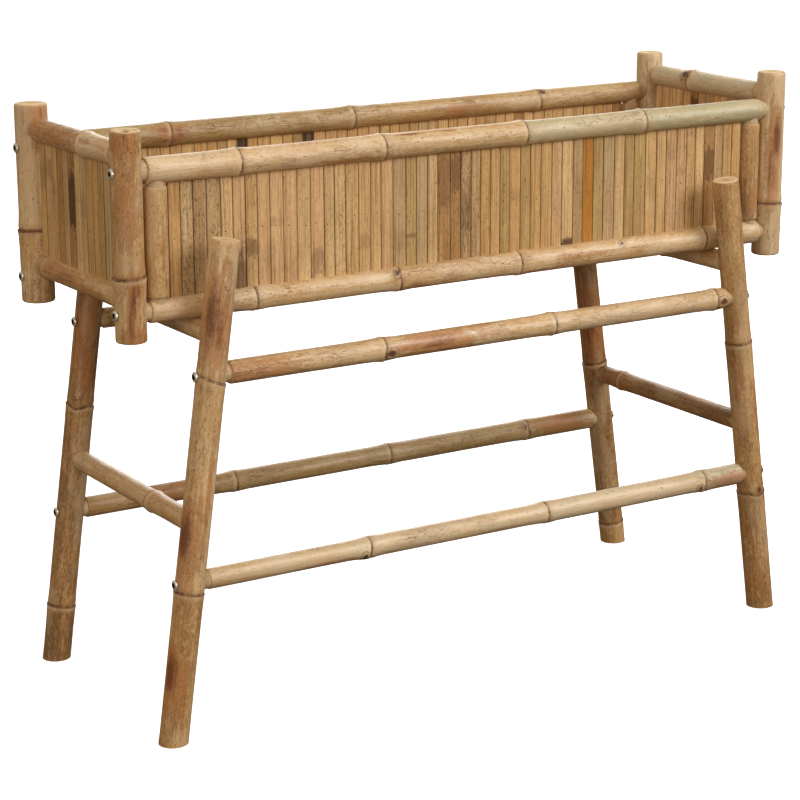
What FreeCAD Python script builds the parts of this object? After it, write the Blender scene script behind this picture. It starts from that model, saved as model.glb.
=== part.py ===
import FreeCAD, Part
import math
import os

Vector = FreeCAD.Vector

# All sizes are in millimetres: X runs along the planter, front faces -Y, Z is up from the floor.

# Planter box, measured between the axes of its corner posts
BOX_LENGTH = 962.0
BOX_WIDTH = 267.0
POST_HEIGHT = 250.0
POST_FOOT = 33.5
POST_HEAD = 50.0
BACK_RAIL_DROP = 4.5

# Stand, measured on the axes of its poles
LEG_INSET = 20.0
LEG_TOP = 613.0
LEG_LEAN = 8.0
LEG_CLEARANCE = 4.2
UPPER_STRETCHER_HEIGHT = 452.0
LOWER_STRETCHER_HEIGHT = 200.0
SIDE_STRETCHER_HEIGHT = 271.0
BEARER_HEIGHT = 500.0
REST_GAP = 0.3

# Nominal culm diameters
POST_D = 38.0
LEG_D = 37.5
TOP_RAIL_D = 31.0
BOTTOM_RAIL_D = 28.5
SHORT_TOP_RAIL_D = 30.0
SHORT_BOTTOM_RAIL_D = 28.5
UPRIGHT_D = 27.0
STRETCHER_D = 28.0
SIDE_STRETCHER_D = 27.0
BEARER_D = 28.0

# Node ridge: a short swelling that ends in the step of the sheath scar
NODE_RISE = 1.3
NODE_FLARE = 4.0
NODE_MARGIN = 15.0

# Bevels of the exposed cut ends
POST_BEVEL = 3.5
POST_FOOT_BEVEL = 2.8
LEG_BEVEL = 2.0

# Round tenons with a flat shoulder, and the blind mortises that take them
SHOULDER = 2.5
SHOULDER_GAP = 0.2
RAIL_NECK = 3.6
TENON_CORE = 10.0
UPRIGHT_CORE = 6.0
MORTISE_CLEARANCE = 0.15
MORTISE_END_GAP = 0.5
TENON_WEB = 1.5

# Pan-head furniture screws driven through posts and legs into the ends of the long poles
SCREW_D = 6.0
SCREW_LENGTH = 60.0
SCREW_HEAD_D = 13.0
SCREW_HEAD_HEIGHT = 2.6
SCREW_HEAD_BEVEL = 1.3
SCREW_HOLE_D = 6.5
SCREW_SEAT_GAP = 0.1
PILOT_CLEARANCE = 0.1
PILOT_END_GAP = 2.0

# Split-culm slats of the walls, set in grooves along the rails
SLAT_WIDTH = 16.4
SLAT_THICKNESS = 5.0
SLAT_EDGE = 3.6
SLAT_GAP = 0.6
SLAT_END_GAP = 0.3
GROOVE_DEPTH = 6.0
GROOVE_CLEARANCE = 0.2
WALL_END_GAP = 1.0
UPRIGHT_GAP = 0.5

# Half-round battens nailed across the inside of the slats
BATTEN_WIDTH = 20.0
BATTEN_THICKNESS = 8.0
BATTEN_HEIGHT = 117.0

# Floor strips laid from front to back on the long bottom rails
FLOOR_WIDTH = 18.0
FLOOR_THICKNESS = 5.0
FLOOR_SPACE = 4.0
FLOOR_GAP = 0.2
FLOOR_HOUSING = 5.0

# No two culms grow alike. For each pole, from its first end (left, front or lower): its diameter there
# over the nominal one, the diameter lost per metre, and the places of its nodes
CULMS = {
    "corner_post_front_left": (1.03, 12.0, [77.6]),
    "corner_post_front_right": (1.02, 2.0, [71.1]),
    "corner_post_back_left": (1.13, 6.0, [92.4]),
    "corner_post_back_right": (1.0, 2.0, [98.0]),
    "top_rail_front": (1.06, 3.0, [121.0, 320.6, 529.7, 718.3]),
    "top_rail_back": (1.0, 1.5, [161.4, 434.3, 737.2]),
    "top_rail_left": (1.04, 5.0, [82.1]),
    "top_rail_right": (1.0, 1.0, [141.4]),
    "bottom_rail_front": (1.0, -5.0, [138.3, 341.8, 522.8, 822.5]),
    "bottom_rail_back": (1.0, -5.0, [128.0, 372.0, 610.0, 834.0]),
    "bottom_rail_left": (1.0, 1.0, [202.0]),
    "bottom_rail_right": (1.0, 1.0, [80.0]),
    "upright_front_left": (1.075, 1.0, []),
    "upright_front_right": (1.0, 1.0, []),
    "upright_back_left": (1.0, 1.0, []),
    "upright_back_right": (1.0, 1.0, []),
    "leg_front_left": (1.0, 1.0, [190.4, 451.6]),
    "leg_front_right": (1.03, 6.0, [175.1, 392.7]),
    "leg_back_left": (1.01, 5.0, [74.0, 345.9]),
    "leg_back_right": (1.0, 6.0, [33.4, 290.0, 545.0]),
    "stretcher_upper_front": (1.05, 1.2, [212.9, 467.6, 733.2]),
    "stretcher_upper_back": (1.0, 1.0, [150.0, 430.0, 705.0]),
    "stretcher_lower_front": (0.9, -5.5, [226.3, 495.1, 757.0]),
    "stretcher_lower_back": (0.96, -4.5, [221.2, 468.1, 706.1]),
    "side_stretcher_left": (1.0, 1.0, [92.6]),
    "side_stretcher_right": (1.0, 1.0, [257.8]),
    "bearer_left": (1.0, 1.0, [205.0]),
    "bearer_right": (1.0, 1.0, [130.0]),
}

SIDES = {"left": -1, "right": 1}
FACES = {"front": -1, "back": 1}
UP = Vector(0, 0, 1)


# Largest diameter of a pole of a given length
def thickest(name, nominal, length):
    thickness, taper, nodes = CULMS[name]
    return nominal * thickness + max(0.0, -taper * length / 1000)


# A bamboo pole on its own axis
class Culm:
    def __init__(self, name, butt, tip, nominal, node_offset=0.0):
        thickness, taper, nodes = CULMS[name]
        self.butt = butt
        self.axis = tip - butt
        self.length = self.axis.Length
        self.axis.normalize()
        self.diameter = nominal * thickness
        self.widest = thickest(name, nominal, self.length)
        self.neck = nominal / 2 - SHOULDER
        self.taper = taper
        self.tenons = [0.0, 0.0]
        self.bevels = [0.0, 0.0]
        self.cuts = []
        self.nodes = [n + node_offset for n in nodes if n + node_offset < self.length - NODE_MARGIN]

    # Each internode is a plain cylinder, and the culm changes size at its nodes
    def radius(self, s):
        start = max([0.0] + [n for n in self.nodes if n < s])
        end = min([self.length] + [n for n in self.nodes if n >= s])
        return self.diameter / 2 - self.taper / 2 * (start + end) / 2 / 1000

    def at(self, s):
        return self.butt + self.axis * s

    # Radius to clear when something crosses the pole within reach of a point on it
    def seat(self, s, reach):
        near = [n for n in self.nodes if n - NODE_FLARE < s + reach and s - reach < n]
        rise = NODE_RISE if near else 0.0
        return max(self.radius(s - reach), self.radius(s + reach)) + rise

    # Half outline of one end, from the axis out to the full pole; side is -1 at the butt, 1 at the tip
    def end_outline(self, side):
        index = (side + 1) // 2
        s = self.length * index
        radius = self.radius(s)
        tenon = self.tenons[index]
        bevel = self.bevels[index]
        if tenon:
            tip = s + side * tenon
            return [(0, tip), (self.neck, tip), (self.neck, s), (radius, s)]
        if bevel:
            return [(0, s), (radius - bevel, s), (radius, s - side * bevel)]
        return [(0, s), (radius, s)]

    def solid(self):
        outline = self.end_outline(-1)
        for n in self.nodes:
            below = self.radius(n)
            outline.append((below, n - NODE_FLARE))
            outline.append((below + NODE_RISE, n))
            outline.append((self.radius(n + NODE_FLARE), n))
        outline += reversed(self.end_outline(1))
        points = [Vector(r, 0, s) for r, s in outline]
        face = Part.Face(Part.makePolygon(points + points[:1]))
        pole = face.revolve(Vector(0, 0, 0), UP, 360)
        pole.Placement = FreeCAD.Placement(self.butt, FreeCAD.Rotation(UP, self.axis))
        return pole.cut(self.cuts) if self.cuts else pole


# Distance from a host's axis, along a direction, to a plane that clears the host over a given reach
def clear_plane(host, s, direction, reach):
    lean = math.asin(abs(host.axis.dot(direction)))
    shift = host.widest / 2 * math.sin(lean)
    return host.seat(s, reach + shift) / math.cos(lean) + reach * math.tan(lean)


# A pole tenoned at both ends into two hosts, which get the matching mortises; a gap leaves the necks in sight,
# and the tenons stop at the core of the host
def joined_culm(name, nominal, hosts, stations, gap=SHOULDER_GAP, core=TENON_CORE):
    ends = [host.at(s) for host, s in zip(hosts, stations)]
    run = ends[1] - ends[0]
    reach = thickest(name, nominal, run.Length) / 2
    run.normalize()
    shoulders = [clear_plane(h, s, run, reach) + gap for h, s in zip(hosts, stations)]
    pole = Culm(name, ends[0] + run * shoulders[0], ends[1] - run * shoulders[1], nominal)
    for index, inward in enumerate((run, run * -1)):
        start = core - MORTISE_END_GAP
        depth = shoulders[index] - start
        pole.tenons[index] = shoulders[index] - core
        mouth = ends[index] + inward * start
        hosts[index].cuts.append(Part.makeCylinder(pole.neck + MORTISE_CLEARANCE, depth, mouth, inward))
    return pole


# A screw through a host into the end of a pole, with its clearance hole and pilot hole
def driven_screw(host, s, pole, inward):
    centre = host.at(s)
    head = clear_plane(host, s, inward, SCREW_HEAD_D / 2) + SCREW_SEAT_GAP
    seat = centre - inward * head
    host.cuts.append(Part.makeCylinder(SCREW_HOLE_D / 2, head + TENON_CORE, seat, inward))
    tenon_end = centre + inward * TENON_CORE
    pilot_depth = SCREW_LENGTH - head - TENON_CORE + PILOT_END_GAP
    pole.cuts.append(Part.makeCylinder(SCREW_D / 2 + PILOT_CLEARANCE, pilot_depth, tenon_end, inward))
    return pan_head_screw(seat, inward)


def pan_head_screw(seat, inward):
    shank = SCREW_D / 2
    rim = SCREW_HEAD_D / 2
    top = -SCREW_HEAD_HEIGHT
    head = [(0, top), (rim - SCREW_HEAD_BEVEL, top), (rim, top + SCREW_HEAD_BEVEL), (rim, 0)]
    outline = head + [(shank, 0), (shank, SCREW_LENGTH), (0, SCREW_LENGTH)]
    points = [Vector(r, 0, s) for r, s in outline]
    screw = Part.Face(Part.makePolygon(points + points[:1])).revolve(Vector(0, 0, 0), UP, 360)
    screw.Placement = FreeCAD.Placement(seat, FreeCAD.Rotation(UP, inward))
    return screw


# One slat standing on the origin, flat inside face towards +Y, rounded bark face towards -Y
def slat(width, height):
    half = width / 2
    inner = SLAT_THICKNESS / 2
    edge = inner - SLAT_EDGE
    bark = Part.Arc(Vector(-half, edge, 0), Vector(0, -inner, 0), Vector(half, edge, 0)).toShape()
    corners = [Vector(half, edge, 0), Vector(half, inner, 0), Vector(-half, inner, 0), Vector(-half, edge, 0)]
    outline = Part.Wire([bark] + Part.makePolygon(corners).Edges)
    return Part.Face(outline).extrude(Vector(0, 0, height))


# A row of slats filling a span, centred on the origin
def slat_row(span, height):
    count = round(span / SLAT_WIDTH)
    pitch = span / count
    one = slat(pitch - SLAT_GAP, height)
    return [one.translated(Vector((k - (count - 1) / 2) * pitch, 0, 0)) for k in range(count)]


# Half-round batten, flat face on the XZ plane, lying along X and bulging towards +Y
def batten(length):
    half = BATTEN_WIDTH / 2
    start = -length / 2
    low = Vector(start, 0, -half)
    high = Vector(start, 0, half)
    bulge = Part.Arc(low, Vector(start, BATTEN_THICKNESS, 0), high).toShape()
    flat = Part.makeLine(high, low)
    return Part.Face(Part.Wire([bulge, flat])).extrude(Vector(length, 0, 0))


# Turn a piece made for the front wall so that it faces another way, then put it in place
def facing(shape, degrees, place):
    turned = shape.rotated(Vector(0, 0, 0), UP, degrees)
    return turned.translated(place)


# Depth from the rail's axis to the floor of its slat groove
def groove_floor(rail):
    return min(rail.radius(0), rail.radius(rail.length)) - GROOVE_DEPTH


# Groove for a row of slats along a rail, centred on its wall: side 1 opens upwards, -1 downwards
def slat_groove(rail, span, side, place):
    width = SLAT_THICKNESS + 2 * GROOVE_CLEARANCE
    length = span + 2 * GROOVE_CLEARANCE
    height = rail.widest
    floor = groove_floor(rail)
    tool = Part.makeBox(length, width, height, Vector(-length / 2, -width / 2, floor if side > 0 else -floor - height))
    turn = math.degrees(math.atan2(rail.axis.y, rail.axis.x))
    return facing(tool, turn, place + UP * rail.butt.z)


# Corner posts of the box, whose lower ends are at height zero until the box is put on the stand
posts = {}
for face, fy in FACES.items():
    for side, sx in SIDES.items():
        name = "corner_post_" + face + "_" + side
        foot = Vector(sx * BOX_LENGTH / 2, fy * BOX_WIDTH / 2, 0)
        post = Culm(name, foot, foot + UP * POST_HEIGHT, POST_D)
        post.bevels = [POST_FOOT_BEVEL, POST_BEVEL]
        posts[face, side] = post


# Height between a long rail and the short rail beside it, so that their mortises keep a web between them
def stagger(long_d, short_d):
    depth = TENON_CORE - MORTISE_END_GAP
    chords = [math.sqrt((d / 2 - SHOULDER + MORTISE_CLEARANCE) ** 2 - depth ** 2) for d in (long_d, short_d)]
    return sum(chords) + TENON_WEB


# Rails between the posts; the long ones run along X and the short ones sit a little higher
long_heights = {"top": POST_HEIGHT - POST_HEAD, "bottom": POST_FOOT}
long_sizes = {"top": TOP_RAIL_D, "bottom": BOTTOM_RAIL_D}
short_sizes = {"top": SHORT_TOP_RAIL_D, "bottom": SHORT_BOTTOM_RAIL_D}
rails = {}
rail_heights = {}
for level, height in long_heights.items():
    for face in FACES:
        name = level + "_rail_" + face
        hosts = [posts[face, "left"], posts[face, "right"]]
        station = height - BACK_RAIL_DROP if name == "top_rail_back" else height
        rail_heights[level, face] = station
        rails[level, face] = joined_culm(name, long_sizes[level], hosts, [station, station], RAIL_NECK)
    short_height = height + stagger(long_sizes[level], short_sizes[level])
    for side in SIDES:
        name = level + "_rail_" + side
        hosts = [posts["front", side], posts["back", side]]
        rails[level, side] = joined_culm(name, short_sizes[level], hosts, [short_height, short_height], RAIL_NECK)

# Upright poles that stand between the long rails, close beside each post
uprights = {}
for face in FACES:
    for side, sx in SIDES.items():
        name = "upright_" + face + "_" + side
        hosts = [rails["bottom", face], rails["top", face]]
        widths = posts[face, side].widest + thickest(name, UPRIGHT_D, POST_HEIGHT)
        x = sx * (BOX_LENGTH / 2 - widths / 2 - NODE_RISE - UPRIGHT_GAP)
        stations = [x - host.butt.x for host in hosts]
        uprights[face, side] = joined_culm(name, UPRIGHT_D, hosts, stations, RAIL_NECK, UPRIGHT_CORE)

# Screws that pull the posts onto the ends of the long rails
box_screws = []
for (face, side), post in posts.items():
    for level in long_heights:
        inward = Vector(-SIDES[side], 0, 0)
        box_screws.append(driven_screw(post, rail_heights[level, face], rails[level, face], inward))

# Slat walls and the battens across their inside, made for the front wall and turned to the others
upright_reach = min(abs(pole.butt.x) - pole.widest / 2 for pole in uprights.values())
long_span = 2 * (upright_reach - WALL_END_GAP)
short_spans = {}
for side in SIDES:
    post_reach = max(posts[face, side].widest for face in FACES) / 2 + NODE_RISE
    short_spans[side] = 2 * (BOX_WIDTH / 2 - post_reach - WALL_END_GAP)
walls = {
    "front": (long_span, 0, Vector(0, -BOX_WIDTH / 2, 0)),
    "back": (long_span, 180, Vector(0, BOX_WIDTH / 2, 0)),
    "left": (short_spans["left"], -90, Vector(-BOX_LENGTH / 2, 0, 0)),
    "right": (short_spans["right"], 90, Vector(BOX_LENGTH / 2, 0, 0)),
}
wall_slats = {}
battens = {}
for wall, (span, degrees, place) in walls.items():
    top = rails["top", wall]
    bottom = rails["bottom", wall]
    top.cuts.append(slat_groove(top, span, -1, place))
    bottom.cuts.append(slat_groove(bottom, span, 1, place))
    low = bottom.butt.z + groove_floor(bottom) + SLAT_END_GAP
    high = top.butt.z - groove_floor(top) - SLAT_END_GAP
    row = slat_row(span, high - low)
    wall_slats[wall] = Part.makeCompound([facing(one, degrees, place + UP * low) for one in row])
    strip = batten(span).translated(Vector(0, SLAT_THICKNESS / 2, BATTEN_HEIGHT))
    battens[wall] = facing(strip, degrees, place)


# Height of the underside of a floor strip that lies on the crowns of both long bottom rails
def floor_level(x, half_width):
    beside_slat = SLAT_THICKNESS / 2 + GROOVE_CLEARANCE
    levels = []
    for face in FACES:
        rail = rails["bottom", face]
        crown = rail.seat(x - rail.butt.x, half_width)
        levels.append(rail.butt.z + math.sqrt(crown ** 2 - beside_slat ** 2))
    return max(levels) + FLOOR_GAP


def floor_strip(x, width, length, level):
    return Part.makeBox(width, length, FLOOR_THICKNESS, Vector(x - width / 2, -length / 2, level))


# Floor strips between the uprights, each resting at its own height on the uneven rails
floor_length = BOX_WIDTH - SLAT_THICKNESS - 2 * GROOVE_CLEARANCE
floor_count = int((long_span + FLOOR_SPACE) // (FLOOR_WIDTH + FLOOR_SPACE))
floor_pitch = (long_span - FLOOR_WIDTH) / (floor_count - 1)
floor_strips = []
for k in range(floor_count):
    x = (k - (floor_count - 1) / 2) * floor_pitch
    level = floor_level(x, FLOOR_WIDTH / 2)
    floor_strips.append(floor_strip(x, FLOOR_WIDTH, floor_length, level))

# A wider strip closes the floor at each end, its outer edge housed in the short bottom rail
for side, sx in SIDES.items():
    rail = rails["bottom", side]
    level = rails["bottom", "front"].butt.z + BOTTOM_RAIL_D / 2
    inner = long_span / 2 + FLOOR_SPACE
    drop = max(abs(level - rail.butt.z), abs(level + FLOOR_THICKNESS - rail.butt.z))
    outer = BOX_LENGTH / 2 - math.sqrt(rail.radius(rail.length) ** 2 - drop ** 2) + FLOOR_HOUSING
    length = short_spans[side]
    floor_strips.append(floor_strip(sx * (inner + outer) / 2, outer - inner, length, level))
    slot_height = FLOOR_THICKNESS + 2 * GROOVE_CLEARANCE
    slot_length = length + 2 * GROOVE_CLEARANCE
    slot_start = outer + GROOVE_CLEARANCE - SHORT_BOTTOM_RAIL_D if sx > 0 else -outer - GROOVE_CLEARANCE
    corner = Vector(slot_start, -slot_length / 2, level - GROOVE_CLEARANCE)
    rail.cuts.append(Part.makeBox(SHORT_BOTTOM_RAIL_D, slot_length, slot_height, corner))

# Legs of the stand: they lean towards each other along the length and are sawn level at the floor
lean = math.radians(LEG_LEAN)
leg_y = BOX_WIDTH / 2 + BOTTOM_RAIL_D / 2 + NODE_RISE + LEG_CLEARANCE + LEG_D / 2
leg_overrun = LEG_D * math.tan(lean)
legs = {}
for face, fy in FACES.items():
    for side, sx in SIDES.items():
        name = "leg_" + face + "_" + side
        foot = Vector(sx * (BOX_LENGTH / 2 - LEG_INSET), fy * leg_y, 0)
        rise = Vector(-sx * math.sin(lean), 0, math.cos(lean))
        top = foot + rise * (LEG_TOP / math.cos(lean))
        leg = Culm(name, foot - rise * leg_overrun, top, LEG_D, leg_overrun)
        leg.bevels = [0.0, LEG_BEVEL]
        saw = 2 * LEG_D
        leg.cuts.append(Part.makeBox(2 * saw, 2 * saw, saw, foot - Vector(saw, saw, saw)))
        legs[face, side] = leg


# Place on a leg's axis at a height above the floor
def leg_station(height):
    return leg_overrun + height / math.cos(lean)


# Long stretchers at two heights on the front and the back pair of legs
stretcher_heights = {"upper": UPPER_STRETCHER_HEIGHT, "lower": LOWER_STRETCHER_HEIGHT}
stretchers = {}
stand_screws = []
for level, height in stretcher_heights.items():
    for face in FACES:
        name = "stretcher_" + level + "_" + face
        hosts = [legs[face, "left"], legs[face, "right"]]
        station = leg_station(height)
        pole = joined_culm(name, STRETCHER_D, hosts, [station, station])
        for side, sx in SIDES.items():
            stand_screws.append(driven_screw(legs[face, side], station, pole, Vector(-sx, 0, 0)))
        stretchers[level, face] = pole


# How near to the point where a pole crosses another a node ridge can stand in the way
def crossing_reach(diameter):
    return math.sqrt(diameter * NODE_RISE)


# A bearer sits lower where the rails it carries are thicker, so that the box stands level
def bearer_height(side):
    x = legs["front", side].at(leg_station(BEARER_HEIGHT)).x
    crowns = []
    for face in FACES:
        rail = rails["bottom", face]
        crowns.append(rail.seat(x - rail.butt.x, crossing_reach(BEARER_D)))
    return BEARER_HEIGHT + BOTTOM_RAIL_D / 2 - max(crowns)


# Cross poles between the front and the back leg: a side stretcher, and a bearer that carries the box
crossings = {}
for side in SIDES:
    hosts = [legs["front", side], legs["back", side]]
    low = leg_station(SIDE_STRETCHER_HEIGHT)
    high = leg_station(bearer_height(side))
    name = "side_stretcher_" + side
    crossings[name] = joined_culm(name, SIDE_STRETCHER_D, hosts, [low, low])
    name = "bearer_" + side
    crossings[name] = joined_culm(name, BEARER_D, hosts, [high, high])


# How far the box is lifted so that its long bottom rails rest on the crowns of the bearers
def box_lift():
    lifts = []
    for side in SIDES:
        bearer = crossings["bearer_" + side]
        for face in FACES:
            rail = rails["bottom", face]
            on_rail = rail.seat(bearer.butt.x - rail.butt.x, crossing_reach(BEARER_D))
            on_bearer = bearer.seat(rail.butt.y - bearer.butt.y, crossing_reach(BOTTOM_RAIL_D))
            lifts.append(bearer.butt.z + on_bearer + REST_GAP + on_rail - rail.butt.z)
    return max(lifts)


# Every piece by name: the box is made standing on height zero, then lifted onto the stand
box = {"corner_post_" + face + "_" + side: post.solid() for (face, side), post in posts.items()}
box.update({level + "_rail_" + place: rail.solid() for (level, place), rail in rails.items()})
box.update({"upright_" + face + "_" + side: pole.solid() for (face, side), pole in uprights.items()})
box.update({"wall_slats_" + wall: slats for wall, slats in wall_slats.items()})
box.update({"batten_" + wall: strip for wall, strip in battens.items()})
box["floor_slats"] = Part.makeCompound(floor_strips)
box["box_screws"] = Part.makeCompound(box_screws)

stand = {"leg_" + face + "_" + side: leg.solid() for (face, side), leg in legs.items()}
stand.update({"stretcher_" + level + "_" + face: pole.solid() for (level, face), pole in stretchers.items()})
stand.update({name: pole.solid() for name, pole in crossings.items()})
stand["stand_screws"] = Part.makeCompound(stand_screws)

lift = box_lift()
pieces = {name: shape.translated(UP * lift) for name, shape in box.items()}
pieces.update(stand)

os.makedirs("parts", exist_ok=True)
for name, shape in pieces.items():
    shape.exportStep("parts/" + name + ".step")
print(len(pieces), "pieces, box lifted", round(lift, 2), "mm")
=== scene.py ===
import math
import random

import bmesh
import bpy
from mathutils import Matrix, Vector, noise


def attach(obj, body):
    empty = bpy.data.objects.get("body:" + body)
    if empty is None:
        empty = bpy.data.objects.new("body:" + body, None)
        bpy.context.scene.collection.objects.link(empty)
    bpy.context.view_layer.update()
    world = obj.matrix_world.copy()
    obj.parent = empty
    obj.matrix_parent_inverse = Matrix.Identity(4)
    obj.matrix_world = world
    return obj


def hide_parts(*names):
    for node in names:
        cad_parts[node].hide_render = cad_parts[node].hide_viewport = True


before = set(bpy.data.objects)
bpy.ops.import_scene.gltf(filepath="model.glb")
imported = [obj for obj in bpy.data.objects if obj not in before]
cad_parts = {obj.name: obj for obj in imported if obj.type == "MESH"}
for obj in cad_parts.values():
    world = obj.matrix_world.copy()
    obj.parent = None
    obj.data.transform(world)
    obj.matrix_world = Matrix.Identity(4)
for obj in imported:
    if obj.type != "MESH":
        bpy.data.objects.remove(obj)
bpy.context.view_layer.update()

# Legs: four thick bamboo culms that lean towards each other and carry everything.
# Each is a natural pole with its nodes left on, sawn level at the floor and
# sawn square and eased at the top; heat and damp have left brown marks on the skin.


class Shade:
    """A socket in a finish's node tree; sums written on it become Math nodes."""

    def __init__(self, tree, socket=None):
        self.tree = tree
        self.socket = socket

    def node(self, kind, settings=None, sockets=None, out=0):
        made = self.tree.nodes.new(kind)
        for key, value in (settings or {}).items():
            if key == "stops":
                elements = made.color_ramp.elements
                for place, colour in value[2:]:
                    elements.new(place)
                for stop, (place, colour) in zip(elements, value):
                    stop.position = place
                    stop.color = colour
            else:
                setattr(made, key, value)
        for key, value in (sockets or {}).items():
            if isinstance(value, Shade):
                self.tree.links.new(value.socket, made.inputs[key])
            else:
                made.inputs[key].default_value = value
        return Shade(self.tree, made.outputs[out] if made.outputs else None)

    def math(self, operation, first, second):
        return self.node("ShaderNodeMath", {"operation": operation}, {0: first, 1: second})

    def __add__(self, other):
        return self.math("ADD", self, other)

    __radd__ = __add__

    def __sub__(self, other):
        return self.math("SUBTRACT", self, other)

    def __rsub__(self, other):
        return self.math("SUBTRACT", other, self)

    def __mul__(self, other):
        return self.math("MULTIPLY", self, other)

    __rmul__ = __mul__

    def __abs__(self):
        return self.math("ABSOLUTE", self, 0.0)

    def attribute(self, name, out="Fac"):
        return self.node("ShaderNodeAttribute", {"attribute_name": name}, out=out)

    def smooth(self, low, high):
        settings = {"interpolation_type": "SMOOTHSTEP"}
        return self.node("ShaderNodeMapRange", settings,
                         {"Value": self, "From Min": low, "From Max": high})

    def mix(self, under, over, blend="MIX"):
        settings = {"data_type": "RGBA", "blend_type": blend}
        return self.node("ShaderNodeMix", settings, {0: self, 6: under, 7: over}, out=2)

    def ramp(self, *stops):
        return self.node("ShaderNodeValToRGB", {"stops": stops}, {"Fac": self})

    def fleck(self, stretch, scale, detail=2.0, roughness=0.5):
        place = self.node("ShaderNodeVectorMath", {"operation": "MULTIPLY"}, {0: self, 1: stretch})
        sockets = {"Vector": place, "Scale": scale, "Detail": detail, "Roughness": roughness}
        return self.node("ShaderNodeTexNoise", {}, sockets)

    def surface(self, colour, rough, height, depth, **constants):
        bump = self.node("ShaderNodeBump", {},
                         {"Strength": 1.0, "Distance": depth, "Height": height})
        sockets = {"Base Color": colour, "Roughness": rough, "Normal": bump}
        sockets.update({key.replace("_", " "): value for key, value in constants.items()})
        shader = self.node("ShaderNodeBsdfPrincipled", {}, sockets)
        self.node("ShaderNodeOutputMaterial", {}, {"Surface": shader})


def new_finish(name):
    finish = bpy.data.materials.new(name)
    finish.use_nodes = True
    finish.node_tree.nodes.clear()
    return finish, Shade(finish.node_tree)


def paint(red, green, blue):
    parts = [v / 255 for v in (red, green, blue)]
    return (*[v / 12.92 if v < 0.04 else ((v + 0.055) / 1.055) ** 2.4 for v in parts], 1.0)


# Skin of a dried culm: cloudy tone with fibre streaks and fine mottling
skin_finish, skin = new_finish("bamboo_skin")
grain = skin.attribute("grain", "Vector")
streaks = grain.fleck((1, 1, 0.03), 260, 4.0, 0.6)
fibres = grain.fleck((1, 1, 0.02), 520, 2.0, 0.6)
mottle = grain.fleck((1, 1, 0.5), 150, 6.0, 0.72)
clouds = grain.fleck((1, 1, 0.4), 36, 3.0, 0.55)
grit = grain.fleck((1, 1, 0.4), 460, 3.0, 0.7)
drift = (clouds - 0.5) * 0.6 + (mottle - 0.5) * 0.7 + (streaks - 0.5) * 0.5 + (grit - 0.5) * 0.9
colour = (skin.attribute("tone") + drift).ramp(
    (0.0, paint(194, 182, 148)),
    (0.2, paint(214, 189, 153)),
    (0.4, paint(208, 173, 127)),
    (0.6, paint(191, 149, 97)),
    (0.8, paint(159, 117, 71)),
    (1.0, paint(120, 82, 44)),
)
colour = skin.attribute("olive").mix(colour, paint(164, 164, 98), "MULTIPLY")
rust = grain.fleck((1, 1, 0.3), 17, 3.0, 0.6) + (mottle - 0.5) * 0.25
bloom = grain.fleck((1, 1, 0.35), 24, 2.0) + (mottle - 0.5) * 0.2
colour = (rust.smooth(0.54, 0.6) * 0.2).mix(colour, paint(160, 112, 62))
colour = (bloom.smooth(0.54, 0.6) * 0.26).mix(colour, paint(216, 190, 154))
colour = (fibres.smooth(0.5, 0.7) * 0.2).mix(colour, paint(140, 98, 54))
colour = (mottle.smooth(0.52, 0.72) * 0.3).mix(colour, paint(232, 206, 166))

# Warm heat marks that run along the grain, dark at their core and rim
stain = skin.attribute("stain")
heat = stain + stain.smooth(0.02, 0.3) * ((mottle - 0.5) * 1.3 + (streaks - 0.5) * 1.1)
heat_area = heat.smooth(0.24, 0.5)
heat_core = heat.smooth(0.55, 1.5)
heat_rim = heat.smooth(0.22, 0.3) * (1 - heat.smooth(0.3, 0.42))
colour = (heat_area * 0.6).mix(colour, paint(172, 106, 50))
colour = (heat_core * 0.85).mix(colour, paint(108, 52, 20))
colour = (heat_rim * 0.35).mix(colour, paint(110, 68, 38))

# Insect traces, pits and scratches, thickest where the skin is worn
worn = grain.fleck((1, 1, 0.3), 30, 2.0)
traces = abs(grain.fleck((1, 1, 0.45), 70, 3.0, 0.6) - 0.52)
traces = (1 - traces.smooth(0.002, 0.009)) * worn.smooth(0.51, 0.57)
pits = grain.fleck((1, 1, 0.6), 480, 1.0).smooth(0.69, 0.76)
scores = grain.fleck((1, 1, 0.07), 380, 1.0).smooth(0.67, 0.74) * worn.smooth(0.54, 0.64)
marks = pits * 0.65 + scores * 0.55 + traces * 0.4
colour = marks.mix(colour, paint(96, 64, 38))

# A dark sheath scar at every node, with a pale band of painted highlight on one side and a band of
# painted shade on the other
ring = skin.attribute("ring")
side = skin.attribute("side")
scar = (1 - ring.smooth(0.0006, 0.0028)) * (0.45 + mottle.smooth(0.38, 0.6) * 0.55)
node_highlight = (1 - ring.smooth(0.002, 0.010)) * (0.5 - side * 0.5) * (mottle * 1.6)
shadowed = (1 - ring.smooth(0.002, 0.012)) * (0.5 + side * 0.5)
colour = (node_highlight * 0.5).mix(colour, paint(232, 204, 162))
colour = (shadowed * 0.3).mix(colour, paint(166, 122, 76))
colour = scar.mix(colour, paint(92, 55, 31))

# Branch knots: a brown rim round a dark heart
knot = skin.attribute("knot")
knot = knot + knot.smooth(0.02, 0.2) * ((mottle - 0.5) * 1.0 + (grit - 0.5) * 0.6)
knot_rim = knot.smooth(0.12, 0.26) * (1 - knot.smooth(0.3, 0.42))
knot_heart = knot.smooth(0.42, 0.72)
colour = (knot_rim * 0.6).mix(colour, paint(112, 66, 38))
colour = (knot_heart * 0.9).mix(colour, paint(78, 42, 24))

rough = 0.37 + (streaks - 0.5) * 0.2 + heat_area * 0.06 + marks * 0.2
relief = (streaks * 0.4 + mottle * 0.6 + grit * (0.3 + worn.smooth(0.45, 0.6)) - pits * 0.7
          - scores * 0.6 - traces * 0.5)
skin.surface(colour, rough, relief, 0.0009, Specular_IOR_Level=0.55)

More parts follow.
